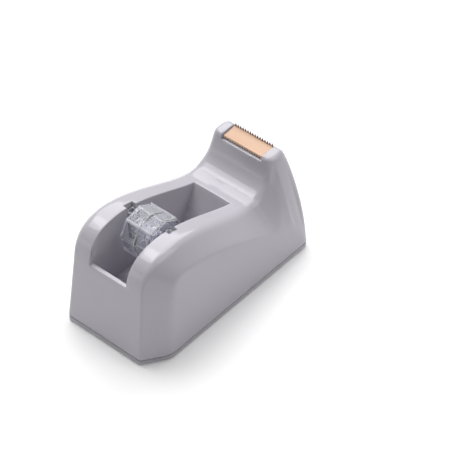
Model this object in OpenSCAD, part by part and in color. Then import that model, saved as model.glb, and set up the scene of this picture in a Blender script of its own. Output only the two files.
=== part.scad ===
// Desktop tape dispenser: weighted plastic body with an open tape well, a clear
// lift-out hub and a serrated cutter on the head.
// X runs from the rear face to the head, Y to the left, Z up. The origin lies on
// the desk, under the middle of the body.

/* [Body] */
// Length from the rear face to the front of the head
body_l = 115; // [105:1:135]
// Width across the base
body_w = 63; // [60:1:76]
// Height of the shoulder over the hub
shoulder_h = 58.1; // [56:0.1:63]
// Height of the head, measured to the cheeks beside the cutter
head_h = 58.5; // [54:0.5:64]
// Height of the saddle between the well and the neck
saddle_h = 41.3; // [39:0.1:44]
// Distance of the highest point of the shoulder from the rear face
crown_x = 26; // [23:0.5:32]
// Width of the flat rear face at its foot
rear_face_w = 46; // [42:1:50]
// Length of the slanted rear corners
corner_l = 12.5; // [9:0.5:15]
// Slope of the rear face, in degrees from upright
rear_angle = 7.2; // [4:0.1:9]
// Width across the two rails beside the well
rail_w = 42.8; // [40:0.1:46]
// Width of the head across its cheeks
head_w = 36; // [33:0.5:40]
// Length of the top of the head
head_l = 11; // [10:0.5:14]
// Set-back of the top of the head from the foot of the front face
front_lean = 4.8; // [2:0.1:6]
// Length of the curve from the saddle up to the neck
neck_run = 15.3; // [14:0.1:20]
// Height of the crease on the side, below the shoulder
crease_h = 47; // [44:0.5:50]
// Draft of the side faces, in degrees
side_draft = 2.9; // [1:0.1:4]
// Rounding along the rails and corners
edge_r = 3; // [1.5:0.1:3.5]
// Wall of the shell
wall = 2.2; // [1.8:0.1:2.8]
// Plastic left under the cutter
head_solid = 8; // [7:0.5:10]

/* [Tape well] */
// Width of the well at the sill
well_w = 22.7; // [22:0.1:24]
// Draft of the well walls, in degrees
well_draft = 2.1; // [1:0.1:4]
// Height of the sill in the rear face
sill_h = 41; // [39:0.5:43]
// Height of the well floor
well_floor_h = 21.4; // [19:0.1:23]
// Gap between the front edge of the well and the neck
deck_l = 21.3; // [20:0.1:26]
// Slope of the front wall of the well, in degrees from upright
well_front_angle = 30; // [10:1:34]
// Rounding of the well floor
well_fillet = 3; // [1:0.5:4]

/* [Hub] */
// Distance of the hub axis from the rear face
hub_x = 34.75; // [33.5:0.25:36]
// Height of the hub axis
hub_h = 46.2; // [45:0.1:47.5]
// Outer diameter of the drum, for a one inch tape core
drum_d = 25.6; // [24:0.1:25.8]
// Length of the drum
drum_l = 17; // [15:0.1:18]
// Wall of the clear mouldings
drum_wall = 1.2; // [1:0.1:1.6]
// Number of flat sides on the drum between its end rings
drum_sides = 8; // [8:1:12]
// Width of each end ring of the drum
ring_w = 1.4; // [1:0.1:3]
// Diameter of the axle
axle_d = 6; // [5:0.1:7]
// Diameter of the stub that carries the loose end of the axle
stub_d = 4; // [3:0.1:4.4]
// Width of the flat axle ends, along the body
lug_w = 5.2; // [4.6:0.1:7]
// Height of the flat axle ends
lug_h = 16; // [14:0.5:17]
// Depth of the notches, measured at the top of the rails
notch_depth = 2.3; // [1.8:0.1:2.6]
// Radial clearance of the drum on the axle
run_clear = 0.08; // [0.04:0.01:0.1]
// Clearance of the lift-out hub in the notches
lift_clear = 0.2; // [0.15:0.01:0.35]

/* [Cutter] */
// Width of the cutter across the tape
blade_w = 24.5; // [22:0.5:25]
// Length of the cutter along the body
blade_l = 9; // [7:0.1:9.4]
// Thickness of the cutter sheet
blade_t = 0.5; // [0.4:0.05:0.7]
// Number of teeth along each edge
blade_teeth = 16; // [10:1:20]
// Height of the teeth that stand up along the front edge
front_tooth_h = 1.9; // [1.2:0.1:2.4]
// Height of the teeth that hang down along the rear edge
rear_tooth_h = 1.3; // [0.8:0.1:1.6]
// Upward tilt of the cutter towards the front, in degrees
blade_tilt = 3; // [2:0.5:7]
// Height of the cheeks above the seat of the cutter
cheek_h = 1.8; // [1.6:0.1:2.6]
// Length of the tabs that lock the cutter in the head
tab_h = 3; // [2:0.1:3.5]
// Width of each tab
tab_w = 3; // [2:0.1:4]
// Clearance round the cutter and its tabs
blade_clear = 0.15; // [0.1:0.01:0.25]

/* [Base] */
// Thickness of the base plate
base_t = 3; // [2.6:0.1:3.6]
// Height of the shadow gap between base plate and shell
seam_h = 0.6; // [0.4:0.1:0.8]
// Depth of the shadow gap
seam_in = 0.6; // [0.3:0.1:0.9]
// Diameter of the rubber feet
foot_d = 9; // [7:0.5:10]
// Thickness of the rubber feet
foot_t = 1.8; // [1.6:0.1:2]
// Depth of the recess that holds each foot
foot_seat = 1; // [0.8:0.1:1.2]
// Clearance round each foot
foot_clear = 0.1; // [0.05:0.01:0.2]
// Diameter of the base screws
screw_d = 2.9; // [2.5:0.1:3.2]
// Length of the screw shank
screw_l = 9; // [7:0.5:11]
// Diameter of the screw heads
screw_head_d = 5.6; // [5:0.1:6]
// Height of the screw heads
screw_head_h = 1.3; // [1:0.1:1.4]
// Clearance of the screws
screw_clear = 0.08; // [0.04:0.01:0.15]
// Diameter of the screw bosses in the shell
boss_d = 7; // [6:0.1:8]
// Length of the ballast block
ballast_l = 50; // [40:1:52]
// Width of the ballast block
ballast_w = 38; // [30:1:40]
// Clearance round the ballast block
ballast_clear = 0.3; // [0.2:0.05:0.5]
// Wall of the frame that locates the ballast
frame_t = 1.6; // [1.2:0.1:2]
// Height of that frame
frame_h = 6; // [4:0.5:8]

/* [Hidden] */
$fn = 64;

// Levels of the base, from the desk up
plate_z = foot_t - foot_seat;
base_z = plate_z + base_t;

// Stations along the body, from the rear face
neck_x = body_l - front_lean - head_l;
saddle_x = neck_x - neck_run;
well_front_x = neck_x - deck_l;
rear_rate = tan(rear_angle);
side_rate = tan(side_draft);
well_rate = tan(well_draft);

// Front corners: how far the front face stands in, and where the side face ends
front_in = 1.3;
front_turn = 3;
front_w = body_w - 2 * front_in;

// The shoulder starts to curve just over the sill
shoulder_above = 1;
shoulder_z = sill_h + shoulder_above;

// Rear face: how much narrower it gets over each millimetre of height
rear_narrow = 0.045;
// Rails: how much narrower each one stands at the saddle
saddle_narrow = 2.7;
// Head: drop of the rear lip and of the chin, and rounding of the top
lip_drop = 3.2;
chin_drop = 3;
head_turn = 2;

// Side crease: fall from its crown to where it starts and to three stations in front
crease_rise = 11;
hip_fall = 21;
neck_fall = 26.5;
brow_fall = 31;
hip_ahead = 4;
neck_behind = 2.5;
brow_behind = 6;

// Reach of each curve's handles, as a share of the stretch that the curve spans
SHOULDER_REACH = 0.7;
CROWN_REACH = 0.6;
SLOPE_REACH = [0.34, 0.2];
NECK_REACH = [0.5, 0.6];
NECK_LEAN = 0.1;
BEND_REACH = 0.68;
CREASE_REACH = 0.29;
HIP_SLOPE = 0.48;

// Front face: bow of its profile, and how fast its taper sets in
FRONT_BOW = 4;
FRONT_TAPER = 2.1;
// Inside of the shell: how much of the wall the crease moves in, along its own face
CREASE_SHARE = 0.4;
// Rounding of an edge takes at most this share of the band below it
TURN_SHARE = 0.6;
// Middle of each side face, as a share of the height of the crease
FAN_SHARE = 0.25;

// Steps along each stretch of the outline and round each edge
STEPS = [3, 8, 12, 8, 3, 2, 3, 8];
ROUND_STEPS = 4;
FILLET_STEPS = 4;

// Room that a cut leaves beyond the face it breaks through
past = 1;
well_above = 10;
well_top_z = shoulder_h + well_above;

function lerp(a, b, u) = a + (b - a) * u;
function unit(v) = v / norm(v);
function quad_point(a, b, c, u) = lerp(lerp(a, b, u), lerp(b, c, u), u);
function cubic_point(p, u) =
    lerp(quad_point(p[0], p[1], p[2], u), quad_point(p[1], p[2], p[3], u), u);

// Points of a stretch after its first one, so that stretches join without doubles
function line_run(a, b, n) = [for (i = [1 : n]) lerp(a, b, i / n)];
function quad_run(a, b, c, n) = [for (i = [1 : n]) quad_point(a, b, c, i / n)];
function cubic_run(p, n) = [for (i = [1 : n]) cubic_point(p, i / n)];

// Front face: set back a little more towards the top, narrower towards the head
function front_x(z) = body_l - front_lean * pow(max(z - base_z, 0) / (head_h - base_z), FRONT_BOW);
function front_half(z) =
    let (u = (z - base_z) / (head_h - base_z))
    lerp(front_w, head_w, u * u * lerp(FRONT_TAPER, 1, u)) / 2;
function rear_x(z) = rear_rate * (z - base_z);
function side_half(z) = body_w / 2 - side_rate * (z - base_z);

// Upper outline as [x, z] points from the foot of the rear face over shoulder,
// saddle and head to the foot of the front face, set in by t
function upper_path(t) =
    let (
        s = STEPS,
        top_z = head_h - t / wall * head_solid,
        chin_z = top_z - chin_drop,
        foot = [t, base_z],
        rear = [rear_x(shoulder_z) + t, shoulder_z],
        crown = [crown_x, shoulder_h - t],
        saddle = [saddle_x, saddle_h - t],
        lip = [neck_x + t, top_z - lip_drop],
        corner = [neck_x + t, top_z],
        brow = [front_x(head_h) - t, top_z],
        turn = [head_turn, 0],
        rise = SHOULDER_REACH * (crown[1] - rear[1]),
        back = CROWN_REACH * (crown[0] - rear[0]),
        slope = saddle[0] - crown[0],
        climb = lip - saddle
    )
    concat(
        [foot],
        line_run(foot, rear, s[0]),
        cubic_run([rear, rear + [rear_rate * rise, rise], crown - [back, 0], crown], s[1]),
        cubic_run([
            crown, crown + [SLOPE_REACH[0] * slope, 0], saddle - [SLOPE_REACH[1] * slope, 0], saddle
        ], s[2]),
        cubic_run([
            saddle,
            saddle + [NECK_REACH[0] * climb[0], 0],
            lip - [NECK_LEAN * climb[0], NECK_REACH[1] * climb[1]],
            lip
        ], s[3]),
        quad_run(lip, corner, corner + turn, s[4]),
        line_run(corner + turn, brow - turn, s[5]),
        quad_run(brow - turn, brow, [front_x(chin_z) - t, chin_z], s[6]),
        [for (z = line_run([chin_z], [base_z], s[7])) [front_x(z[0]) - t, z[0]]]
    );

// Half width of the upper outline at each of its points, set in by t
function upper_halves(t) =
    let (
        s = STEPS,
        foot = rear_face_w / 2 - t,
        rear = rear_face_w / 2 - rear_narrow * (shoulder_z - base_z) - t,
        rail = rail_w / 2 - t,
        saddle = rail - saddle_narrow,
        head = head_w / 2 - t,
        chin_z = head_h - t / wall * head_solid - chin_drop
    )
    concat(
        [foot],
        line_run(foot, rear, s[0]),
        line_run(rear, rail, s[1]),
        line_run(rail, saddle, s[2]),
        line_run(saddle, head, s[3]),
        [for (i = [1 : s[4] + s[5]]) head],
        line_run(head, front_half(chin_z) - t, s[6]),
        [for (z = line_run([chin_z], [base_z], s[7])) front_half(z[0]) - t]
    );

// Crease between the side face and the sloping band above it, with a point for
// each one of the upper outline
function crease_path(t) =
    let (
        s = STEPS,
        in = CREASE_SHARE * t,
        bend_z = crease_h - crease_rise,
        foot = [corner_l + in, base_z],
        bend = [corner_l + rear_x(bend_z) + in, bend_z],
        crown = [crown_x, crease_h - in],
        hip = [saddle_x + hip_ahead, crown[1] - hip_fall],
        neck = [neck_x - neck_behind, crown[1] - neck_fall],
        brow = [body_l - brow_behind - t, crown[1] - brow_fall],
        toe = [body_l - front_turn - t, base_z],
        rise = BEND_REACH * (crown[1] - bend[1]),
        back = BEND_REACH * (crown[0] - bend[0]),
        reach = CREASE_REACH * (hip[0] - crown[0])
    )
    concat(
        [foot],
        line_run(foot, bend, s[0]),
        cubic_run([bend, bend + [rear_rate * rise, rise], crown - [back, 0], crown], s[1]),
        cubic_run([crown, crown + [reach, 0], hip + [-reach, HIP_SLOPE * reach], hip], s[2]),
        line_run(hip, neck, s[3]),
        line_run(neck, brow, s[4] + s[5] + s[6]),
        line_run(brow, toe, s[7])
    );

// One side of a cross ring: from the crease up the band and round the edge
function half_ring(upper, half, crease, t, r) =
    let (
        top = [upper[0], half, upper[1]],
        low = [crease[0], side_half(crease[1]) - t, crease[1]],
        reach = norm(low - top),
        turn = min(r, TURN_SHARE * reach),
        start = top + unit(low - top) * turn,
        end = top - [0, turn, 0]
    )
    concat(
        [low, lerp(low, start, 0.5)],
        [for (i = [0 : ROUND_STEPS]) quad_point(start, top, end, i / ROUND_STEPS)]
    );

function mirrored(ring) = [for (i = [len(ring) - 1 : -1 : 0]) [ring[i][0], -ring[i][1], ring[i][2]]];

function rings(t) =
    let (
        upper = upper_path(t),
        halves = upper_halves(t),
        crease = crease_path(t)
    )
    [for (i = [0 : len(upper) - 1])
        let (half = half_ring(upper[i], halves[i], crease[i], t, edge_r))
        concat(half, mirrored(half))];

// Closed form of the body, set in by t and standing on its base, or carried on
// straight down by drop. Each side and the foot are fans round a middle point.
module skin(t, drop = 0) {
    ring_list = rings(t);
    n = len(ring_list);
    m = len(ring_list[0]);
    body = [for (ring = ring_list) each ring];
    first = [for (j = [0 : m - 1]) j];
    last = [for (j = [0 : m - 1]) (n - 1) * m + j];
    left = [for (i = [0 : n - 1]) i * m];
    right = [for (i = [0 : n - 1]) i * m + m - 1];
    rim = concat(first, [for (j = [m - 1 : -1 : 0]) last[j]]);
    low_rim = [for (i = [0 : 2 * m - 1]) n * m + i];
    low_points = drop > 0 ? [for (i = rim) body[i] - [0, 0, drop]] : [];
    middle = body_l / 2;
    fan_z = FAN_SHARE * crease_h;
    hubs = [
        [middle, side_half(fan_z) - t, fan_z],
        [middle, t - side_half(fan_z), fan_z],
        [middle, 0, base_z - drop]
    ];
    hub = n * m + len(low_points);
    strips = [for (i = [0 : n - 2], j = [0 : m - 2])
        let (a = i * m + j, b = a + m)
        each [[a, b, b + 1], [a, b + 1, a + 1]]];
    skirt = [for (i = [0 : 2 * m - 1])
        let (k = (i + 1) % (2 * m))
        each [[rim[i], rim[k], low_rim[k]], [rim[i], low_rim[k], low_rim[i]]]];
    polyhedron(
        points = concat(body, low_points, hubs),
        faces = concat(
            strips,
            drop > 0 ? skirt : [],
            fan(hub, left, -1),
            fan(hub + 1, right, 1),
            fan(hub + 2, drop > 0 ? low_rim : rim, 1)
        ),
        convexity = 10
    );
}

// Triangles from one point to each edge of a closed loop
function fan(point, loop, sense) =
    [for (i = [0 : len(loop) - 1])
        let (a = loop[i], b = loop[(i + 1) % len(loop)])
        sense > 0 ? [point, a, b] : [point, b, a]];

// Outline of the base, as the body stands on it, set in by t
function base_outline(t) =
    let (list = rings(t), last = len(list) - 1)
    concat(
        [for (p = list[0]) [p[0], p[1]]],
        [for (i = [len(list[last]) - 1 : -1 : 0]) [list[last][i][0], list[last][i][1]]]
    );

// Prism across the body from an [x, z] path, with drafted sides. Each side is a fan
// round eye, a point inside the path that sees all of it.
module drafted_prism(path, eye, half, rate, ref_z) {
    n = len(path);
    near = [for (p = concat(path, [eye])) [p[0], half + rate * (p[1] - ref_z), p[1]]];
    far = [for (p = near) [p[0], -p[1], p[2]]];
    near_loop = [for (i = [0 : n - 1]) i];
    far_loop = [for (i = near_loop) n + 1 + i];
    edges = [for (i = near_loop) let (k = (i + 1) % n) [far_loop[i], far_loop[k], k, i]];
    polyhedron(
        points = concat(near, far),
        faces = concat(fan(n, near_loop, 1), fan(2 * n + 1, far_loop, -1), edges),
        convexity = 4
    );
}

// Side view of the tape well, grown by t for the outside of its walls. The rear
// wall is the body's own, so the grown outline runs out through the rear face.
function well_path(t) =
    let (
        floor_z = well_floor_h - t,
        outside = -past - wall,
        back = t > 0 ? outside : wall + rear_x(sill_h),
        slope = tan(well_front_angle),
        front_foot = well_front_x - slope * (saddle_h - well_floor_h) + t,
        heel = [back, floor_z],
        toe = [front_foot, floor_z],
        r = well_fillet
    )
    concat(
        [[outside, well_top_z]],
        t > 0 ? [] : [[outside, sill_h], [back, sill_h]],
        [heel + [0, r]],
        quad_run(heel + [0, r], heel, heel + [r, 0], FILLET_STEPS),
        [toe - [r, 0]],
        quad_run(toe - [r, 0], toe, toe + [slope * r, r], FILLET_STEPS),
        [[front_foot + slope * (well_top_z - floor_z), well_top_z]]
    );

module well_cut() {
    drafted_prism(well_path(0), [hub_x, hub_h], well_w / 2, well_rate, sill_h);
}

module well_walls() {
    drafted_prism(well_path(wall), [hub_x, hub_h], well_w / 2 + wall, well_rate, sill_h);
}

// Notches for the flat axle ends, open at the top
notch_w = lug_w + 2 * lift_clear;
lug_rise = 0.5;
notch_z = hub_h - lug_h / 2 + lug_rise;
notch_half = well_w / 2 + well_rate * (shoulder_h - sill_h) + notch_depth;

module notches() {
    translate([hub_x - notch_w / 2, -notch_half, notch_z])
        cube([notch_w, 2 * notch_half, well_top_z - notch_z]);
}

module notch_pads() {
    translate([hub_x - notch_w / 2 - wall, -notch_half - wall, notch_z - wall])
        cube([notch_w + 2 * wall, 2 * (notch_half + wall), well_top_z - notch_z]);
}

// Seat of the cutter: a tilted plane across the head between the cheeks, with a step
// down to the rear lip that leaves the rear teeth free
blade_set = 1.2;
blade_x = neck_x + blade_set;
seat_z = head_h - cheek_h;
seat_half = blade_w / 2 + blade_clear;
tab_inset = 3;
tab_y = blade_w / 2 - tab_inset;

module on_seat() {
    translate([blade_x, 0, seat_z])
        rotate([0, -blade_tilt, 0])
            children();
}

module cutter_seat() {
    on_seat() {
        translate([-head_l, -seat_half, 0])
            cube([3 * head_l, 2 * seat_half, 2 * cheek_h]);
        translate([-head_l, -seat_half, -rear_tooth_h - blade_clear])
            cube([head_l + blade_t + blade_clear, 2 * seat_half, rear_tooth_h + past]);
        for (side = [-1, 1])
            translate([
                blade_l / 2 - tab_w / 2 - blade_clear,
                side * tab_y - blade_t / 2 - blade_clear,
                -tab_h - blade_clear
            ])
                cube([tab_w + 2 * blade_clear, blade_t + 2 * blade_clear, tab_h + past]);
    }
}

// Screws stand in the four corners, each with a boss tied to the side wall
boss_floor = 3;
boss_gap = 3.5;
screw_ahead = 8;
screw_behind = 15;
boss_h = screw_l + boss_floor;
boss_y = body_w / 2 - wall - boss_d / 2 - boss_gap;
rib_l = body_w / 2 - wall / 2 - boss_y;
rear_screw_x = corner_l + screw_ahead;
screw_spots = [for (x = [rear_screw_x, body_l - screw_behind], side = [-1, 1]) [x, side * boss_y]];
screw_seat_z = plate_z + screw_head_h + screw_clear;
slot_w = 0.6;

module bosses() {
    for (spot = screw_spots) {
        translate([spot[0], spot[1], base_z])
            cylinder(d = boss_d, h = boss_h);
        translate([spot[0] - wall / 2, spot[1] > 0 ? spot[1] : spot[1] - rib_l, base_z])
            cube([wall, rib_l, boss_h]);
    }
}

module pilots() {
    for (spot = screw_spots)
        translate([spot[0], spot[1], base_z - past])
            cylinder(d = screw_d + 2 * screw_clear, h = screw_l + past);
}

module centred() {
    translate([-body_l / 2, 0, 0])
        children();
}

module body_shell() {
    color("#A9A8AD")
        centred()
            difference() {
                skin(0);
                difference() {
                    skin(wall, past);
                    well_walls();
                    notch_pads();
                    bosses();
                }
                well_cut();
                notches();
                cutter_seat();
                pilots();
            }
}

// Feet near the corners, inside the screws
foot_in = 3;
foot_y = rear_face_w / 2 - foot_d / 2 - foot_in;
rear_foot_x = foot_d / 2 + 2 * foot_in;
front_foot_x = body_l - foot_d / 2 - foot_in;
foot_spots = [
    [rear_foot_x, foot_y], [rear_foot_x, -foot_y],
    [front_foot_x, foot_y], [front_foot_x, -foot_y]
];

// The ballast lies in front of the rear bosses, under the floor of the well
boss_room = 1;
ballast_x = rear_screw_x + boss_d / 2 + boss_room + frame_t + ballast_clear + ballast_l / 2;
ballast_h = well_floor_h - wall - base_z - ballast_clear;

module base_plate() {
    room = 2 * ballast_clear;
    color("#9C9BA0")
        centred()
            difference() {
                union() {
                    translate([0, 0, plate_z])
                        linear_extrude(base_t - seam_h)
                            polygon(base_outline(0));
                    translate([0, 0, plate_z])
                        linear_extrude(base_t)
                            polygon(base_outline(seam_in));
                    translate([ballast_x, 0, base_z - seam_h + frame_h / 2])
                        difference() {
                            cube([
                                ballast_l + room + 2 * frame_t,
                                ballast_w + room + 2 * frame_t,
                                frame_h
                            ], center = true);
                            cube([ballast_l + room, ballast_w + room, frame_h + past], center = true);
                        }
                }
                for (spot = screw_spots) {
                    translate([spot[0], spot[1], plate_z - past])
                        cylinder(d = screw_d + 2 * screw_clear, h = base_t + 2 * past);
                    translate([spot[0], spot[1], plate_z - past])
                        cylinder(d = screw_head_d + 2 * screw_clear, h = screw_seat_z - plate_z + past);
                }
                for (spot = foot_spots)
                    translate([spot[0], spot[1], plate_z - past])
                        cylinder(d = foot_d + 2 * foot_clear, h = foot_seat + past);
            }
}

module ballast_block() {
    color("#4A4A4C")
        centred()
            translate([ballast_x - ballast_l / 2, -ballast_w / 2, base_z])
                cube([ballast_l, ballast_w, ballast_h]);
}

module base_screws() {
    color("#B8B9BC")
        centred()
            for (spot = screw_spots)
                translate([spot[0], spot[1], screw_seat_z])
                    difference() {
                        union() {
                            translate([0, 0, -screw_head_h])
                                cylinder(d = screw_head_d, h = screw_head_h);
                            cylinder(d = screw_d, h = screw_l);
                        }
                        for (turn = [0, 90])
                            rotate([0, 0, turn])
                                translate([-screw_d / 2, -slot_w / 2, -screw_head_h - past])
                                    cube([screw_d, slot_w, past + screw_head_h / 2]);
                    }
}

module foot(index) {
    color("#2B2B2D")
        centred()
            translate([foot_spots[index][0], foot_spots[index][1], 0])
                cylinder(d = foot_d, h = foot_t);
}

// Row of teeth across the cutter, standing on a strip as deep as the sheet
module tooth_row(tooth_h) {
    pitch = blade_w / blade_teeth;
    rotate([90, 0, 90])
        linear_extrude(blade_t)
            polygon(concat(
                [[blade_w / 2, -blade_t], [-blade_w / 2, -blade_t]],
                [for (i = [0 : blade_teeth - 1])
                    let (y = -blade_w / 2 + i * pitch)
                    each [[y, 0], [y + pitch / 2, tooth_h]]],
                [[blade_w / 2, 0]]
            ));
}

module cutter_blade() {
    color("#F2BE98")
        centred()
            on_seat() {
                translate([0, -blade_w / 2, 0])
                    cube([blade_l, blade_w, blade_t]);
                translate([blade_l - blade_t, 0, blade_t])
                    tooth_row(front_tooth_h);
                mirror([0, 0, 1])
                    tooth_row(rear_tooth_h);
                for (side = [-1, 1])
                    translate([blade_l / 2 - tab_w / 2, side * tab_y - blade_t / 2, -tab_h])
                        cube([tab_w, blade_t, tab_h + blade_t / 2]);
            }
}

module on_hub() {
    translate([hub_x, 0, hub_h])
        rotate([-90, 0, 0])
            children();
}

// Flat axle end that drops into the left notch, hollow above the axle
lug_gap = 0.5;
// Length of the axle inside its fixed end, and set-back of the stub in the loose end
axle_root = 1;
stub_short = 0.5;
lug_in = drum_l / 2 + lug_gap;
lug_out = notch_half - lift_clear;
pocket_z = hub_h + axle_d / 2 + drum_wall;

module lug() {
    translate([hub_x - lug_w / 2, lug_in, notch_z])
        difference() {
            cube([lug_w, lug_out - lug_in, lug_h]);
            translate([drum_wall, drum_wall, pocket_z - notch_z])
                cube([lug_w - 2 * drum_wall, lug_out - lug_in - 2 * drum_wall, lug_h]);
        }
}

module hub_axle() {
    color("#E4E8EE")
        centred() {
            lug();
            on_hub()
                translate([0, 0, -lug_in])
                    cylinder(d = axle_d, h = 2 * lug_in + axle_root);
            on_hub()
                translate([0, 0, stub_short - lug_out])
                    cylinder(d = stub_d, h = lug_out);
        }
}

module hub_axle_end() {
    color("#E4E8EE")
        centred()
            difference() {
                mirror([0, 1, 0])
                    lug();
                on_hub()
                    translate([0, 0, -lug_out - past])
                        cylinder(d = stub_d + run_clear, h = lug_out - lug_in + 2 * past);
            }
}

cap_t = 1.4;
// Ribs along the drum that grip the tape core
rib_h = 0.8;
rib_w = 1;
ribs = 4;
flat_d = drum_d - 2 * rib_h;
bore_d = axle_d + 2 * run_clear;
tube_d = bore_d + 2 * drum_wall;
cap_z = drum_l / 2 - cap_t;
drum_inner_d = flat_d * cos(180 / drum_sides) - 2 * drum_wall;
// Turn of the flat sides at rest
facet_turn = 7;

module hub_drum() {
    color("#E4E8EE")
        centred()
            on_hub()
                difference() {
                    union() {
                        difference() {
                            union() {
                                translate([0, 0, -cap_z])
                                    rotate([0, 0, facet_turn])
                                        cylinder(d = flat_d, h = cap_z + drum_l / 2, $fn = drum_sides);
                                for (i = [0 : ribs - 1])
                                    rotate([0, 0, facet_turn + i * 360 / ribs])
                                        translate([flat_d / 2 - drum_wall, -rib_w / 2, -cap_z])
                                            cube([drum_wall + rib_h, rib_w, cap_z + drum_l / 2]);
                                translate([0, 0, -cap_z])
                                    cylinder(d = drum_d, h = ring_w);
                                translate([0, 0, drum_l / 2 - ring_w])
                                    cylinder(d = drum_d, h = ring_w);
                            }
                            translate([0, 0, -drum_l])
                                cylinder(d = drum_inner_d, h = 2 * drum_l);
                        }
                        translate([0, 0, -cap_z])
                            cylinder(d = tube_d, h = cap_z + drum_l / 2);
                        translate([0, 0, -drum_wall / 2])
                            cylinder(d = drum_inner_d + drum_wall, h = drum_wall);
                    }
                    translate([0, 0, -drum_l])
                        cylinder(d = bore_d, h = 2 * drum_l);
                }
}

module hub_cap() {
    color("#E4E8EE")
        centred()
            on_hub()
                difference() {
                    union() {
                        translate([0, 0, -drum_l / 2])
                            cylinder(d = drum_d, h = cap_t);
                        translate([0, 0, -drum_l / 2])
                            cylinder(d = drum_inner_d - 2 * run_clear, h = 2 * cap_t);
                    }
                    translate([0, 0, -drum_l])
                        cylinder(d = tube_d + 2 * run_clear, h = drum_l);
                }
}

body_shell();
base_plate();
ballast_block();
base_screws();
foot(0);  // foot_rear_left
foot(1);  // foot_rear_right
foot(2);  // foot_front_left
foot(3);  // foot_front_right
cutter_blade();
hub_axle();
hub_axle_end();
hub_drum();
hub_cap();
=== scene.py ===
import math

import bmesh
import bpy
import numpy as np
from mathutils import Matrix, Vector


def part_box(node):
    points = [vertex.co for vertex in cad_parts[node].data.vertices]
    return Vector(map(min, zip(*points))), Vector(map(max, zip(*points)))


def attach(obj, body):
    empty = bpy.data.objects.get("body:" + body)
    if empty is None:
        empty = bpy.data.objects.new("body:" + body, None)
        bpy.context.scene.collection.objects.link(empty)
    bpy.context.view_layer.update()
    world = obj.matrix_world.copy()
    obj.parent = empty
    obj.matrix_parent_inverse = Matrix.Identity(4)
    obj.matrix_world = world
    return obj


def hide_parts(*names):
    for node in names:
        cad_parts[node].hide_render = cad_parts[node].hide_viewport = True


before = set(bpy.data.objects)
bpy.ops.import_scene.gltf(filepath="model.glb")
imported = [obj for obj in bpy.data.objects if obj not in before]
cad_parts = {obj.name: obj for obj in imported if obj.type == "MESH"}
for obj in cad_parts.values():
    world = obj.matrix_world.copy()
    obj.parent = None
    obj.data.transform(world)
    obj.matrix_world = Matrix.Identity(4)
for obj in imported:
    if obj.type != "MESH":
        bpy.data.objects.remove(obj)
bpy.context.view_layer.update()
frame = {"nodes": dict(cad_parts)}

# Lengths are millimetres, and x is counted from the rear face, as in a side view.
# place() turns such a point into metres in the part's own frame.
MM = 0.001
body_low, body_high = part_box("body_shell")
BODY_L = (body_high.x - body_low.x) / MM
BODY_W = (body_high.y - body_low.y) / MM
BASE_Z = body_low.z / MM
PLATE_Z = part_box("base_plate")[0].z / MM

# Body outline
SHOULDER_H = 58.1
HEAD_H = 58.5
SADDLE_H = 41.3
CROWN_X = 26
REAR_FACE_W = 46
CORNER_L = 12.5
REAR_RATE = math.tan(math.radians(7.2))
RAIL_W = 42.8
HEAD_W = 37
HEAD_L = 11
FRONT_LEAN = 4.8
FRONT_BOW = 4
FRONT_TAPER = 2.1
NECK_RUN = 15.3
STEP_RUN = 4.3
STEP_RATE = math.tan(math.radians(20))
CREASE_H = 47
SIDE_RATE = math.tan(math.radians(2.9))
EDGE_R = 3
HEAD_EDGE_R = 3
REAR_EDGE_R = 1.2
SHOULDER_Z = 42
REAR_NARROW = 0.045
SADDLE_NARROW = 2.7
NECK_HALF = 19.2
LIP_DROP = 2.8
CHIN_DROP = 2.8
HEAD_TURN = 2.8
FRONT_NARROW = 2.6
FRONT_W = BODY_W - FRONT_NARROW
FRONT_TURN = 3
NECK_X = BODY_L - FRONT_LEAN - HEAD_L
SADDLE_X = NECK_X - NECK_RUN

# Tape well and notches
WELL_HALF = 11.35
WELL_RATE = math.tan(math.radians(2.1))
SILL_H = 41
SILL_W = 2.2
WELL_BACK_X = SILL_W + REAR_RATE * (SILL_H - BASE_Z)
WELL_FLOOR = 21.4
DECK_L = 6
WELL_FRONT_X = SADDLE_X - DECK_L
WELL_SLOPE = math.tan(math.radians(30))
WELL_TOE_X = WELL_FRONT_X - WELL_SLOPE * (SADDLE_H - WELL_FLOOR)
WELL_FILLET = 3
WELL_STRAIGHT_X = 50
HUB_X = 34.75
HUB_Z = 46.2
NOTCH_W = 5.6
NOTCH_Z = 38.7
NOTCH_DEPTH = 2.3
NOTCH_HALF = WELL_HALF + WELL_RATE * (SHOULDER_H - SILL_H) + NOTCH_DEPTH

# Cutter and its seat
BLADE_W = 24.5
BLADE_L = 9
BLADE_T = 0.5
BLADE_TEETH = 16
FRONT_TOOTH_H = 1.9
REAR_TOOTH_H = 1.3
BLADE_CLEAR = 0.15
SEAT_RATE = math.tan(math.radians(3))
BLADE_SETBACK = 1.2
BLADE_X = NECK_X + BLADE_SETBACK
CHEEK_H = 1.8
SEAT_Z = HEAD_H - CHEEK_H
SEAT_HALF = BLADE_W / 2 + BLADE_CLEAR
STEP_DEEP = REAR_TOOTH_H + BLADE_CLEAR
TOOTH_ROOM = 1.5
STEP_X = BLADE_X + BLADE_T + TOOTH_ROOM
STEP_COLUMN = 1

# Softening of the edges
CREASE_SOFT = 3
CREASE_CRISP = 1.2
CREASE_WIDE = 5
EDGE_SOFT = 0.45
CHEEK_SOFT = 0.6
LIP_SOFT = 0.25
SILL_SOFT = 0.9
RIM_SOFT = 0.3


def place(x, y, z):
    return Vector(((x - BODY_L / 2) * MM, y * MM, z * MM))


def lerp(a, b, u):
    return a + (b - a) * u


def unit(v):
    return v / np.linalg.norm(v)


def line(a, b):
    return lambda u: lerp(a, b, u)


def quad(a, b, c):
    return lambda u: lerp(lerp(a, b, u), lerp(b, c, u), u)


def cubic(a, b, c, d):
    return lambda u: lerp(quad(a, b, c)(u), quad(b, c, d)(u), u)


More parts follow.
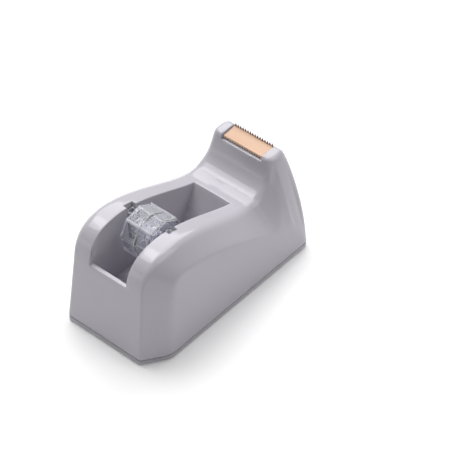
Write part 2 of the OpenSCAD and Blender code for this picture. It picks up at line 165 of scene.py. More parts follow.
def chain(first, second, share):
    """Two curves one after the other, the first over a share of the whole."""
    return lambda u: first(u / share) if u < share else second((u - share) / (1 - share))


def point(*values):
    return np.array(values, float)


def front_x(z):
    return BODY_L - FRONT_LEAN * ((z - BASE_Z) / (HEAD_H - BASE_Z)) ** FRONT_BOW


def front_half(z):
    u = (z - BASE_Z) / (HEAD_H - BASE_Z)
    return lerp(FRONT_W, HEAD_W, u * u * lerp(FRONT_TAPER, 1, u)) / 2


def rear_x(z):
    return REAR_RATE * (z - BASE_Z)


def side_half(z):
    return BODY_W / 2 - SIDE_RATE * (z - BASE_Z)


def well_half(z):
    return WELL_HALF + WELL_RATE * (z - SILL_H)


def seat_z(x):
    return SEAT_Z + SEAT_RATE * (x - BLADE_X)


def step_z(x):
    return seat_z(x) - STEP_DEEP


def well_front(z):
    return WELL_TOE_X + WELL_SLOPE * (z - WELL_FLOOR)


# Stretches of the body, from the foot of the rear face over shoulder, saddle, neck
# and head to the foot of the front face
STEPS = (14, 32, 54, 32, 8, 4, 8, 24)
CHIN_Z = HEAD_H - CHIN_DROP

# Pulls of the outline's curves, as shares of what they span
SHOULDER_LIFT = 0.7
CROWN_REACH = 0.6
SLOPE_START = 0.34
SLOPE_END = 0.2
STEP_SHARE = 0.25
NECK_FOOT = 0.55
NECK_LEAN = point(0.1, 0.6)


def upper_runs():
    foot = point(0, BASE_Z)
    rear = point(rear_x(SHOULDER_Z), SHOULDER_Z)
    crown = point(CROWN_X, SHOULDER_H)
    saddle = point(SADDLE_X, SADDLE_H)
    lip = point(NECK_X, HEAD_H - LIP_DROP)
    corner = point(NECK_X, HEAD_H)
    brow = point(front_x(HEAD_H), HEAD_H)
    turn = point(HEAD_TURN, 0)
    chin = point(front_x(CHIN_Z), CHIN_Z)
    rise = SHOULDER_LIFT * (SHOULDER_H - SHOULDER_Z)
    back = point(CROWN_REACH * (CROWN_X - rear[0]), 0)
    slope = point(SADDLE_X - CROWN_X, 0)
    step = saddle + point(STEP_RUN, 0)
    climb = lip - step
    foot_run = NECK_FOOT * climb[0]
    neck_foot = step + point(foot_run, STEP_RATE * foot_run)
    rise_neck = cubic(step, neck_foot, lip - climb * NECK_LEAN, lip)
    return [
        line(foot, rear),
        cubic(rear, rear + point(REAR_RATE * rise, rise), crown - back, crown),
        cubic(crown, crown + SLOPE_START * slope, saddle - SLOPE_END * slope, saddle),
        chain(line(saddle, step), rise_neck, STEP_SHARE),
        quad(lip, corner, corner + turn),
        line(corner + turn, brow - turn),
        quad(brow - turn, brow, chin),
        lambda u: point(front_x(lerp(CHIN_Z, BASE_Z, u)), lerp(CHIN_Z, BASE_Z, u)),
    ]


def half_runs():
    rear = REAR_FACE_W / 2 - REAR_NARROW * (SHOULDER_Z - BASE_Z)
    saddle = RAIL_W / 2 - SADDLE_NARROW
    head = HEAD_W / 2
    return [
        line(REAR_FACE_W / 2, rear),
        line(rear, RAIL_W / 2),
        line(RAIL_W / 2, saddle),
        quad(saddle, NECK_HALF, head),
        line(head, head),
        line(head, head),
        quad(head, head, front_half(CHIN_Z)),
        lambda u: front_half(lerp(CHIN_Z, BASE_Z, u)),
    ]


# Line where the side face meets the band: drops below its crown, runs beyond the outline's
# own marks, pulls of its curves, and the shares of its last slope along the head
BEND_DROP = 11
HIP_DROP = 21
NECK_DROP = 27.5
HIP_RUN = 4
BROW_IN = 0.5
BROW_RISE = 5
CREASE_LIFT = 0.68
CREASE_REACH = 0.29
HIP_LIFT = 0.48
HEAD_SHARES = (0, 0.375, 0.625, 1)


def crease_runs():
    bend_z = CREASE_H - BEND_DROP
    foot = point(CORNER_L, BASE_Z)
    bend = point(CORNER_L + rear_x(bend_z), bend_z)
    crown = point(CROWN_X, CREASE_H)
    hip = point(SADDLE_X + HIP_RUN, CREASE_H - HIP_DROP)
    neck = point(NECK_X + HIP_RUN, CREASE_H - NECK_DROP)
    brow = point(BODY_L - FRONT_TURN - BROW_IN, BASE_Z + BROW_RISE)
    toe = point(BODY_L - FRONT_TURN, BASE_Z)
    rise = CREASE_LIFT * (CREASE_H - bend_z)
    back = point(CREASE_LIFT * (CROWN_X - bend[0]), 0)
    reach = CREASE_REACH * (hip[0] - CROWN_X)
    head = [lerp(neck, brow, share) for share in HEAD_SHARES]
    return [
        line(foot, bend),
        cubic(bend, bend + point(REAR_RATE * rise, rise), crown - back, crown),
        cubic(crown, crown + point(reach, 0), hip + point(-reach, HIP_LIFT * reach), hip),
        line(hip, neck),
        line(head[0], head[1]),
        line(head[1], head[2]),
        line(head[2], head[3]),
        line(brow, toe),
    ]


# For each stretch, from its start to its end: turn of the side's inward direction,
# softness of the crease, radius of the upper edge, and how far that edge's rounding
# leaves the ring to follow the outline
TURNS = ((0, 0), (0, 90), (90, 90), (90, 90), (90, 110), (110, 125), (125, 145), (145, 180))
SOFTNESS = (
    (CREASE_SOFT, CREASE_SOFT), (CREASE_SOFT, CREASE_CRISP), (CREASE_CRISP, CREASE_CRISP),
    (CREASE_CRISP, CREASE_WIDE), (CREASE_WIDE, CREASE_WIDE), (CREASE_WIDE, CREASE_WIDE),
    (CREASE_WIDE, CREASE_SOFT), (CREASE_SOFT, CREASE_CRISP),
)
ROUNDING = (
    (REAR_EDGE_R, REAR_EDGE_R), (REAR_EDGE_R, EDGE_R), (EDGE_R, EDGE_R), (EDGE_R, HEAD_EDGE_R),
    (HEAD_EDGE_R, HEAD_EDGE_R), (HEAD_EDGE_R, HEAD_EDGE_R), (HEAD_EDGE_R, HEAD_EDGE_R),
    (HEAD_EDGE_R, EDGE_R),
)
WRAPPING = ((0, 0), (0, 0), (0, 0), (0, 1), (1, 1), (1, 1), (1, 1), (1, 0))

# Stations where something starts or ends: the stretch, and a test that changes sign
MARKS = {
    "sill": (0, lambda p: p[1] - SILL_H),
    "back": (1, lambda p: p[0] - WELL_BACK_X),
    "notch": (2, lambda p: p[0] - HUB_X + NOTCH_W / 2),
    "notch_end": (2, lambda p: p[0] - HUB_X - NOTCH_W / 2),
    "front": (2, lambda p: p[0] - well_front(p[1])),
    "lip": (3, lambda p: p[1] - step_z(p[0])),
    "brow": (6, lambda p: seat_z(p[0]) - p[1]),
}


HALVINGS = 50


def crossing(run, test):
    """Share of a stretch at which the test turns from negative to positive."""
    low, high = 0.0, 1.0
    for _ in range(HALVINGS):
        middle = (low + high) / 2
        if test(run(middle)) < 0:
            low = middle
        else:
            high = middle
    return (low + high) / 2


def make_stations():
    """Upper outline, half width and crease at each station, the side's inward direction,
    the softness, radius and wrapping of its edges, and the index of each mark."""
    rows = []
    marks = {}
    for k, (upper, half, crease) in enumerate(zip(upper_runs(), half_runs(), crease_runs())):
        count = STEPS[k]
        shares = np.linspace(0, 1, count + 1)
        for name, (stretch, test) in MARKS.items():
            if stretch == k:
                share = crossing(upper, test)
                nearest = 1 + int(np.argmin(abs(shares[1:-1] - share)))
                shares[nearest] = share
                marks[name] = len(rows) + nearest - (k > 0)
        for u in shares[int(k > 0):]:
            angle = math.radians(lerp(*TURNS[k], u))
            inward = point(math.cos(angle), -math.sin(angle))
            edges = [lerp(*pair[k], u) for pair in (SOFTNESS, ROUNDING, WRAPPING)]
            rows.append((upper(u), half(u), crease(u), inward, *edges))
    return rows, marks


STATIONS, MARK = make_stations()
LAST = len(STATIONS) - 1

# Columns of a ring, from the side face over the band to the middle
CREASE_STEPS = 6
BAND_STEPS = 6
ROUND_STEPS = 8
RAIL_STEPS = 3
COL_ROUND_END = 1 + CREASE_STEPS + BAND_STEPS + ROUND_STEPS
COL_NOTCH = COL_ROUND_END + RAIL_STEPS
COL_EDGE = COL_NOTCH + 1
MIDDLE = (1, 0.5, 0)
COL_MIDDLE = COL_EDGE + len(MIDDLE) - 1
# Most that the upper edge and the crease may take of the band, as shares, and how far below
# the crease a ring starts
ROUND_SHARE = 0.6
SOFT_SHARE = 0.4
SIDE_START = 1


def inner_edge(i):
    """Half width of the well, or of the cutter's seat, carried on over the whole outline."""
    upper = STATIONS[i][0]
    if i <= MARK["sill"]:
        return well_half(SILL_H)
    if i <= MARK["front"]:
        return well_half(upper[1])
    front = STATIONS[MARK["front"]][0]
    share = min(max((upper[0] - SADDLE_X) / (NECK_X - SADDLE_X), 0), 1)
    return lerp(well_half(front[1]), SEAT_HALF, share)


def notch_line(i):
    upper = STATIONS[i][0]
    share = min(max((upper[0] - WELL_FRONT_X) / (NECK_X - WELL_FRONT_X), 0), 1)
    return lerp(NOTCH_HALF, SEAT_HALF + STEP_COLUMN, share)


def heading(i):
    """Direction of the upper outline at a station."""
    return unit(STATIONS[min(i + 1, LAST)][0] - STATIONS[max(i - 1, 0)][0])


def edge_fall(i, top, low, wrapping):
    """Direction in which the surface leaves the upper edge."""
    straight = unit(low - top)
    along = heading(i)
    drop = point(low[0] - top[0], low[2] - top[2])
    across = unit(drop - drop.dot(along) * along)
    flare = (low[1] - top[1]) / np.linalg.norm(drop)
    wrapped = unit(point(across[0], flare * max(-across[1], 0), across[1]))
    return unit(lerp(straight, wrapped, wrapping))


def ring(i):
    """Left half of a cross ring."""
    upper, half, crease, inward, softness, rounding, wrapping = STATIONS[i]
    top = point(upper[0], half, upper[1])
    low = point(crease[0], side_half(crease[1]), crease[1])
    reach = np.linalg.norm(low - top)
    turn = min(rounding, ROUND_SHARE * reach)
    start = top + edge_fall(i, top, low, wrapping) * turn
    end = top - point(0, turn, 0)
    band = np.linalg.norm(start - low)
    soft = min(softness, SOFT_SHARE * band)
    band_foot = low + unit(start - low) * soft

    def on_side(distance):
        x, z = crease + distance * inward
        return point(x, side_half(z), z)

    columns = [on_side(softness + SIDE_START)]
    columns += [quad(on_side(softness), low, band_foot)(k / CREASE_STEPS) for k in range(CREASE_STEPS)]
    columns += [lerp(band_foot, start, k / BAND_STEPS) for k in range(BAND_STEPS)]
    columns += [quad(start, top, end)(k / ROUND_STEPS) for k in range(ROUND_STEPS)]
    notch = notch_line(i)
    flat = [lerp(end[1], notch, k / RAIL_STEPS) for k in range(RAIL_STEPS)]
    flat += [notch]
    flat += [share * inner_edge(i) for share in MIDDLE]
    columns += [point(upper[0], y, upper[1]) for y in flat]
    return columns


# Easing of the head's sides: rounds, strongest pull, and stations before the lip
EASE_ROUNDS = 40
EASE_PULL = 0.5
EASE_BEFORE = 9
COL_BAND = 1 + CREASE_STEPS
EASE_STEPS = BAND_STEPS + ROUND_STEPS


def ease_head(rings):
    """Blends the fans of the neck, head and front into one another on the side of the head."""
    grid = np.array(rings)
    first = MARK["lip"] - EASE_BEFORE
    for _ in range(EASE_ROUNDS):
        middle = (grid[first:-2] + grid[first + 2:]) / 2
        for k in range(1, EASE_STEPS):
            pull = EASE_PULL * math.sin(math.pi * k / EASE_STEPS) ** 2
            column = grid[first + 1:-1, COL_BAND + k]
            grid[first + 1:-1, COL_BAND + k] = lerp(column, middle[:, COL_BAND + k], pull)
    return [list(row) for row in grid]


RINGS = ease_head([ring(i) for i in range(LAST + 1)])


WELD_DIGITS = 4
WELD_GAP = 1e-6


class Shell:
    """Points and faces of one piece, welded where patches meet."""

    def __init__(self):
        self.mesh = bmesh.new()
        self.known = {}
        self.weights = []

    def vertex(self, p):
        key = tuple(round(float(v), WELD_DIGITS) for v in p)
        if key not in self.known:
            self.known[key] = self.mesh.verts.new(place(*p))
        return self.known[key]

    def face(self, points):
        corners = []
        for p in points:
            vertex = self.vertex(p)
            if vertex not in corners:
                corners.append(vertex)
        if len(corners) > 2:
            self.mesh.faces.new(corners)

    def patch(self, rows):
        """Quads between rows of as many points."""
        for a, b in zip(rows, rows[1:]):
            for k in range(len(a) - 1):
                self.face((a[k], a[k + 1], b[k + 1], b[k]))

    def loft(self, loops, capped=True):
        """Quads between closed loops of as many points, with the ends closed or joined."""
        closed = [list(loop) + [loop[0]] for loop in loops]
        if capped:
            self.face(loops[0])
            self.face(loops[-1])
        else:
            closed.append(closed[0])
        self.patch(closed)

    def soften(self, points, width):
        """Rounds the edges along a line of points."""
        self.weights.append(([self.vertex(p) for p in points], width))

    def write_weights(self, widest):
        layer = self.mesh.edges.layers.float.new("bevel_weight_edge")
        for vertices, width in self.weights:
            for a, b in zip(vertices, vertices[1:]):
                edge = self.mesh.edges.get((a, b))
                if edge:
                    edge[layer] = width / widest

    def mirror(self):
        """Adds the right half of a piece that stops at its middle plane."""
        source = self.mesh.verts[:] + self.mesh.edges[:] + self.mesh.faces[:]
        bmesh.ops.mirror(self.mesh, geom=source, axis="Y", merge_dist=WELD_GAP)

    def finish(self, name):
        bmesh.ops.recalc_face_normals(self.mesh, faces=self.mesh.faces)
        mesh = bpy.data.meshes.new(name)
        self.mesh.to_mesh(mesh)
        self.mesh.free()
        piece = bpy.data.objects.new(name, mesh)
        bpy.context.scene.collection.objects.link(piece)
        return piece


def smooth(piece, angle=35):
    piece.data.shade_smooth()
    piece.data.set_sharp_from_angle(angle=math.radians(angle))


def apply_modifiers(piece):
    """Gives the piece the mesh that its modifiers make."""
    bpy.context.view_layer.update()
    graph = bpy.context.evaluated_depsgraph_get()
    made = bpy.data.meshes.new_from_object(piece.evaluated_get(graph))
    piece.modifiers.clear()
    piece.data = made


def soften_edges(piece, width, segments=3, angle=None, material=-1):
    """Rounds the weighted edges, or those sharper than an angle."""
    bevel = piece.modifiers.new("soft", "BEVEL")
    bevel.width = width * MM
    bevel.segments = segments
    bevel.use_clamp_overlap = angle is not None
    bevel.material = material
    bevel.limit_method = "WEIGHT" if angle is None else "ANGLE"
    if angle is not None:
        bevel.angle_limit = math.radians(angle)
    apply_modifiers(piece)


# Housing


def well_bottom(i):
    """Foot of the well's side wall below a station, with the fillets of the floor."""
    x = STATIONS[i][0][0]
    front_x_top = STATIONS[MARK["front"]][0][0]
    toe_x = WELL_TOE_X + WELL_SLOPE * WELL_FILLET
    if x > WELL_STRAIGHT_X:
        x = lerp(WELL_STRAIGHT_X, toe_x, (x - WELL_STRAIGHT_X) / (front_x_top - WELL_STRAIGHT_X))
    rear_share = min(max((x - WELL_BACK_X) / WELL_FILLET, 0), 1)
    front_share = min(max((toe_x - x) / WELL_FILLET, 0), 1)
    lift = (1 - math.sqrt(rear_share)) ** 2 + (1 - math.sqrt(front_share)) ** 2
    return point(x, WELL_FLOOR + WELL_FILLET * lift)


# Levels of the well's walls: those at the sill and at the notch floor, and steps below it
ROW_SILL = 3
ROW_NOTCH = ROW_SILL + 1
LOWER_STEPS = 5


def well_shares():
    """Levels of the well's walls, as shares of their height from the top."""
    top = STATIONS[MARK["back"]][0]
    sill = (top[1] - SILL_H) / (top[1] - well_bottom(MARK["back"])[1])
    hub_top = STATIONS[MARK["notch"]][0]
    notch = (hub_top[1] - NOTCH_Z) / (hub_top[1] - WELL_FLOOR)
    upper = list(np.linspace(0, sill, ROW_SILL + 1))
    lower = list(np.linspace(notch, 1, LOWER_STEPS + 1))
    return upper + lower


WELL_SHARES = well_shares()


def well_line(i):
    """Points in side view down the well's side wall below a station."""
    top = STATIONS[i][0]
    bottom = well_bottom(i)
    points = [lerp(top, bottom, share) for share in WELL_SHARES]
    if MARK["notch"] <= i <= MARK["notch_end"]:
        whole = WELL_SHARES[ROW_NOTCH]
        seat = point(top[0], NOTCH_Z)
        for row, share in enumerate(WELL_SHARES):
            if row <= ROW_NOTCH:
                points[row] = lerp(top, seat, share / whole)
            else:
                points[row] = lerp(seat, bottom, (share - whole) / (1 - whole))
    return points


def on_wall(p, share=1):
    return point(p[0], share * well_half(p[1]), p[1])


def add_outside(shell):
    """Rear face, rails, bands, saddle, neck and front, without the openings."""
    for i in range(LAST):
        open_well = MARK["sill"] <= i < MARK["front"]
        open_head = MARK["lip"] <= i < MARK["brow"]
        open_notch = MARK["notch"] <= i < MARK["notch_end"]
        stop = COL_EDGE if open_well or open_head else COL_MIDDLE
        stop = COL_NOTCH if open_notch else stop
        shell.patch([RINGS[i][: stop + 1], RINGS[i + 1][: stop + 1]])


SIDE_ROWS = 5


def side_foot():
    """Points along the foot of the side face, one for each station."""
    edge = [r[0] for r in RINGS]
    lengths = np.cumsum([0] + [np.linalg.norm(b - a) for a, b in zip(edge, edge[1:])])
    return [lerp(edge[0], edge[-1], length / lengths[-1]) for length in lengths]


SIDE_FOOT = side_foot()


def add_side(shell):
    rows = []
    for i, r in enumerate(RINGS):
        rows.append([lerp(r[0], SIDE_FOOT[i], k / SIDE_ROWS) for k in range(SIDE_ROWS + 1)])
    shell.patch(rows)


def add_well(shell):
    sill, back, front = MARK["sill"], MARK["back"], MARK["front"]
    lines = {i: well_line(i) for i in range(back, front + 1)}
    for i in range(back, front):
        first = ROW_NOTCH if MARK["notch"] <= i < MARK["notch_end"] else 0
        shell.patch([[on_wall(p) for p in lines[k][first:]] for k in (i, i + 1)])
    cheek = [RINGS[i][COL_EDGE] for i in range(sill, back + 1)]
    shell.face(cheek + [on_wall(p) for p in lines[back][1: ROW_SILL + 1]])
    heel = [[on_wall(p, share) for share in MIDDLE] for p in lines[back][ROW_SILL:]]
    shell.patch([RINGS[sill][COL_EDGE:]] + heel)
    shell.patch([[on_wall(lines[i][-1], share) for share in MIDDLE] for i in range(back, front + 1)])
    shell.patch([[on_wall(p, share) for share in MIDDLE] for p in lines[front]])
    shell.soften([RINGS[i][COL_EDGE] for i in range(sill, MARK["notch"] + 1)], EDGE_SOFT)
    shell.soften([RINGS[i][COL_EDGE] for i in range(MARK["notch_end"], front + 1)], EDGE_SOFT)
    shell.soften(RINGS[sill][COL_EDGE:], SILL_SOFT)
    shell.soften(RINGS[front][COL_EDGE:], EDGE_SOFT)
    shell.soften([on_wall(p) for p in lines[front][:ROW_NOTCH + 1]], EDGE_SOFT)


def add_notch(shell):
    first, last = MARK["notch"], MARK["notch_end"]
    outer = []
    floor = []
    for i in range(first, last + 1):
        points = well_line(i)[: ROW_NOTCH + 1]
        half = RINGS[i][COL_NOTCH][1]
        outer.append([point(p[0], half, p[1]) for p in points])
        floor.append([on_wall(points[-1]), outer[-1][-1]])
    shell.patch(outer)
    shell.patch(floor)
    for i, wall in ((first, outer[0]), (last, outer[-1])):
        inner = [on_wall(p) for p in well_line(i)[: ROW_NOTCH + 1]]
        shell.patch([inner, wall])
        shell.soften([inner[0], wall[0]], EDGE_SOFT)
    shell.soften([row[0] for row in outer], EDGE_SOFT)


def add_seat(shell):
    """Step behind the rear teeth, seat of the cutter and inner faces of the cheeks."""
    first, last = MARK["lip"], MARK["brow"]
    step = [point(STEP_X, share * SEAT_HALF, step_z(STEP_X)) for share in MIDDLE]
    seat = [point(STEP_X, share * SEAT_HALF, seat_z(STEP_X)) for share in MIDDLE]
    shell.patch([RINGS[first][COL_EDGE:], step, seat, RINGS[last][COL_EDGE:]])
    cheek = [RINGS[i][COL_EDGE] for i in range(first, last + 1)]
    shell.face(cheek + [seat[0], step[0]])
    shell.soften(cheek, CHEEK_SOFT)
    shell.soften(RINGS[first][COL_EDGE:], LIP_SOFT)
    shell.soften(RINGS[last][COL_EDGE:], LIP_SOFT)


def foot_half():
    """Left half of the body's foot, from the middle of the rear to that of the front."""
    return RINGS[0][::-1] + SIDE_FOOT[1:-1] + RINGS[LAST]


# Shortest step that has a direction, and how far a sharp corner may stretch an inset
SHORTEST = 1e-9
SHARPEST = 0.5


def inset(half, distance):
    """The half outline moved in, with its ends kept on the middle plane."""
    flat = np.array([p[:2] for p in half])
    mirrored = flat[1:2] * (1, -1), flat[-2:-1] * (1, -1)
    whole = np.vstack([mirrored[0], flat, mirrored[1]])
    steps = np.diff(whole, axis=0)
    steps = steps / np.maximum(np.linalg.norm(steps, axis=1), SHORTEST)[:, None]
    normals = np.stack([steps[:, 1], -steps[:, 0]], axis=1)
    joined = normals[:-1] + normals[1:]
    joined = joined / np.linalg.norm(joined, axis=1)[:, None]
    stretch = np.maximum((joined * normals[1:]).sum(axis=1), SHARPEST)
    moved = flat + distance * joined / stretch[:, None]
    return [point(x, y, p[2]) for (x, y), p in zip(moved, half)]


RIM_W = 2.2
HOLLOW_W = 5
HOLLOW_TOP = WELL_FLOOR - RIM_W


def add_underside(shell):
    """Rim that stands on the base plate, and the hollow above it."""
    outer = foot_half()
    rim = inset(outer, RIM_W)
    roof = [point(p[0], p[1], HOLLOW_TOP) for p in inset(outer, HOLLOW_W)]
    shell.patch([outer, rim, roof])
    shell.face(roof)


def build_body():
    shell = Shell()
    add_outside(shell)
    add_side(shell)
    add_well(shell)
    add_notch(shell)
    add_seat(shell)
    add_underside(shell)
    shell.write_weights(SILL_SOFT)
    shell.mirror()
    piece = shell.finish("housing_shell")
    soften_edges(piece, SILL_SOFT)
    smooth(piece)
    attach(piece, "housing")
    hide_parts("body_shell")
    return piece


# Base plate and feet

SEAM_H = 0.6
SEAM_IN = 0.6
PLATE_ROUND = 0.5
FOOT_ROUND = 0.35
ROUND_POINTS = 5
RIM_POINTS = 4


def rounded(a, corner, b, points):
    """Points along the rounding of a corner."""
    return [quad(a, corner, b)(u) for u in np.linspace(0, 1, points)]


def outline(distance, z):
    """Whole outline of the foot of the body, moved in."""
    half = inset(foot_half(), distance)
    left = [point(p[0], p[1], z) for p in half]
    right = [point(p[0], -p[1], z) for p in half[-2:0:-1]]
    return left + right


def build_base():
    seam_z = BASE_Z - SEAM_H
    foot = point(0, PLATE_Z)
    rim = point(0, seam_z)
    profile = rounded(foot + point(PLATE_ROUND, 0), foot, foot + point(0, PLATE_ROUND), ROUND_POINTS)
    profile += rounded(rim - point(0, RIM_SOFT), rim, rim + point(RIM_SOFT, 0), RIM_POINTS)
    profile += [point(SEAM_IN, seam_z), point(SEAM_IN, BASE_Z)]
    shell = Shell()
    shell.loft([outline(distance, z) for distance, z in profile])
    piece = shell.finish("base_tray")
    cut_recesses(piece)
    smooth(piece)
    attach(piece, "housing")
    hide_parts("base_plate")
    return piece


def centre_of(node):
    low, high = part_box(node)
    middle = (low + high) / 2 / MM
    return middle.x + BODY_L / 2, middle.y


FOOT_NODES = ["foot_rear_left", "foot_rear_right", "foot_front_left", "foot_front_right"]
FOOT_LOW, FOOT_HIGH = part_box(FOOT_NODES[0])
FOOT_R = (FOOT_HIGH.x - FOOT_LOW.x) / 2 / MM
FOOT_TOP = FOOT_HIGH.z / MM
SCREW_LOW, SCREW_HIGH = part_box("base_screws")
SCREW_R = 2.8
SCREW_DEEP = 1.38
SCREW_SEAT = PLATE_Z + SCREW_DEEP
RECESS_GAP = 0.08
TURN_STEPS = 64
# How far a cutting piece reaches past what it cuts
PAST = 1
# Dish under each foot: shares of its radius, and depths
DISH = ((0.45, 0.25), (0.6, 0.2), (0.75, 0))


def circle(x, y, z, r):
    angles = [2 * math.pi * k / TURN_STEPS for k in range(TURN_STEPS)]
    return [point(x + r * math.cos(a), y + r * math.sin(a), z) for a in angles]


def screw_spots():
    low = (SCREW_LOW.x / MM + BODY_L / 2 + SCREW_R, SCREW_LOW.y / MM + SCREW_R)
    high = (SCREW_HIGH.x / MM + BODY_L / 2 - SCREW_R, SCREW_HIGH.y / MM - SCREW_R)
    return [(x, y) for x in (low[0], high[0]) for y in (low[1], high[1])]


def cut(piece, cutter, operation="DIFFERENCE"):
    """Cuts one piece with another, or joins them, and removes the second."""
    change = piece.modifiers.new("cut", "BOOLEAN")
    change.object = cutter
    change.operation = operation
    change.solver = "EXACT"
    change.use_self = True
    apply_modifiers(piece)
    bpy.data.objects.remove(cutter)


def cut_recesses(plate):
    """Seats of the feet and of the screw heads in the underside."""
    shell = Shell()
    below = PLATE_Z - PAST
    for node in FOOT_NODES:
        x, y = centre_of(node)
        shell.loft([circle(x, y, z, FOOT_R + RECESS_GAP) for z in (below, FOOT_TOP)])
    for x, y in screw_spots():
        shell.loft([circle(x, y, z, SCREW_R + RECESS_GAP) for z in (below, SCREW_SEAT)])
    cut(plate, shell.finish("recesses"))


def build_feet():
    """Rubber feet with a rounded rim and a shallow dish underneath."""
    feet = []
    for node in FOOT_NODES:
        x, y = centre_of(node)
        rim = point(FOOT_R, 0)
        profile = [point(share * FOOT_R, depth) for share, depth in DISH]
        profile += rounded(rim - point(FOOT_ROUND, 0), rim, rim + point(0, FOOT_ROUND), ROUND_POINTS)
        profile += [point(FOOT_R, FOOT_TOP)]
        shell = Shell()
        shell.loft([circle(x, y, z, r) for r, z in profile])
        piece = shell.finish(node.replace("foot", "rubber_foot"))
        smooth(piece)
        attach(piece, "housing")
        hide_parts(node)
        feet.append(piece)
    return feet


# Cutter

SHEET_T = 0.4
BEND_R = 0.45
BEND_STEPS = 4
TOOTH_SHARE = 0.58
FLAT_STEPS = 6
SEAT_TILT = math.atan(SEAT_RATE)
SHEET_SHARP = 40
# Materials of the cutter, after that of its sheet: a dark copy on the front teeth that paints their
# shade, and a light copy on the rear teeth and the lower part of the rear bend that paints light on
# them
SHADED_FRONT_TEETH = 1
LIT_REAR_TEETH = 2


def on_seat(x, y, z):
    """Point given along the tilted seat of the cutter."""
    across = x * math.cos(SEAT_TILT) - z * math.sin(SEAT_TILT)
    up = x * math.sin(SEAT_TILT) + z * math.cos(SEAT_TILT)
    return point(BLADE_X + across, y, SEAT_Z + up)


def arc(x, z, start, end, steps):
    """Points of the sheet's middle line round a bend."""
    angles = [math.radians(lerp(start, end, k / steps)) for k in range(steps + 1)]
    return [(x + BEND_R * math.cos(a), z + BEND_R * math.sin(a)) for a in angles]


def sheet_line():
    """Middle line of the bent sheet, from the roots of the rear teeth to those in front."""
    middle = SHEET_T / 2
    rear = middle + BEND_R
    front = BLADE_L - middle - BEND_R
    flat = [(lerp(rear, front, k / FLAT_STEPS), middle) for k in range(1, FLAT_STEPS)]
    back_bend = arc(rear, middle - BEND_R, 180, 90, BEND_STEPS)
    return back_bend + flat + arc(front, middle + BEND_R, -90, 0, BEND_STEPS)


def tooth_columns():
    """Places across the sheet: start, foot, tip and foot of each tooth, and the end."""
    pitch = BLADE_W / BLADE_TEETH
    margin = (1 - TOOTH_SHARE) / 2
    columns = [-BLADE_W / 2]
    for k in range(BLADE_TEETH):
        start = -BLADE_W / 2 + k * pitch
        columns += [start + pitch * share for share in (margin, 0.5, 1 - margin, 1)]
    return columns


def add_teeth(shell, columns, root, tip):
    """Pointed teeth from a root line (x, z) to a tip line (x, z) along the seat."""
    for k in range(BLADE_TEETH):
        left, middle, right = columns[4 * k + 1: 4 * k + 4]
        point_up = on_seat(tip[0], middle, tip[1])
        feet = [on_seat(root[0], y, root[1]) for y in (left, middle, right)]
        shell.face((feet[0], feet[1], point_up))
        shell.face((feet[1], feet[2], point_up))


def mark_teeth(piece):
    """Gives the front teeth a dark material that paints their shade, and the rear teeth and the lower
    part of the rear bend a light one that paints light on them.
    """
    for face in piece.data.polygons:
        x, _, z = face.center / MM
        rise = z - seat_z(x + BODY_L / 2)
        if rise > BLADE_T + SHEET_T:
            face.material_index = SHADED_FRONT_TEETH
        elif rise < -SHEET_T / 4:
            face.material_index = LIT_REAR_TEETH


def build_cutter():
    columns = tooth_columns()
    path = sheet_line()
    shell = Shell()
    shell.patch([[on_seat(x, y, z) for y in columns] for x, z in path])
    add_teeth(shell, columns, path[0], (path[0][0], -REAR_TOOTH_H))
    add_teeth(shell, columns, path[-1], (path[-1][0], BLADE_T + FRONT_TOOTH_H))
    piece = shell.finish("cutter_strip")
    thick = piece.modifiers.new("sheet", "SOLIDIFY")
    thick.thickness = SHEET_T * MM
    thick.offset = 0
    apply_modifiers(piece)
    smooth(piece, SHEET_SHARP)
    mark_teeth(piece)
    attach(piece, "housing")
    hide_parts("cutter_blade")
    return piece


# Hub

DRUM_R = 12.8
FLAT_R = 12.3
RIB_W = 1
RIB_COUNT = 4
DRUM_SIDES = 8
FACET_TURN = math.radians(38)
DRUM_END = 8.5
DRUM_START = -7.1
CAP_T = 1.4
DRUM_WALL = 1.2
INNER_R = FLAT_R * math.cos(math.pi / DRUM_SIDES) - DRUM_WALL
HOLLOW_R = FLAT_R - DRUM_WALL
TUBE_R = 4.28
BORE_R = 3.08
HUB_STEPS = 96
# Softened edges of the hub: width, segments, sharpness that counts, and their material, a less clear
# copy that paints highlights along the edges
HUB_SOFT = 0.28
HUB_SEGMENTS = 2
HUB_EDGE_ANGLE = 25
HUB_GLINT = 1
HUB_SHARP = 20
AXLE_R = 3
NECK_R = 2.3
NECK_L = 0.9
STUB_R = 2
LUG_W = 5.2
LUG_IN = 9
LIFT_CLEAR = 0.2
LUG_OUT = NOTCH_HALF - LIFT_CLEAR
LUG_H = 15.8
RUN_CLEAR = 0.08
STUB_CLEAR = 0.04
STUB_SHORT = 0.5
AXLE_ROOT = 1
POCKET_Z = HUB_Z + AXLE_R + DRUM_WALL


def hub_circle(y, r, sides=None):
    """Loop round the hub's axis: a circle, or a polygon of that corner radius."""
    loop = []
    for k in range(HUB_STEPS):
        turn = 2 * math.pi * k / HUB_STEPS
        reach = r
        if sides:
            half = math.pi / sides
            reach = r * math.cos(half) / math.cos(turn % (2 * half) - half)
        angle = turn + FACET_TURN
        loop.append(point(HUB_X + reach * math.cos(angle), y, HUB_Z + reach * math.sin(angle)))
    return loop


def hub_box(x_half, y_low, y_high, z_low, z_high):
    """Corners of a flat loop on each of two levels."""
    corners = [(-x_half, y_low), (x_half, y_low), (x_half, y_high), (-x_half, y_high)]
    return [[point(HUB_X + x, y, z) for x, y in corners] for z in (z_low, z_high)]


def make_lug(side):
    """Flat end of the axle, hollow above it."""
    low, high = sorted((side * LUG_IN, side * LUG_OUT))
    top = NOTCH_Z + LUG_H
    outer = hub_box(LUG_W / 2, low, high, NOTCH_Z, top)
    pocket = hub_box(LUG_W / 2 - DRUM_WALL, low + DRUM_WALL, high - DRUM_WALL, top, POCKET_Z)
    shell = Shell()
    shell.loft(outer + pocket)
    return shell.finish("lug")


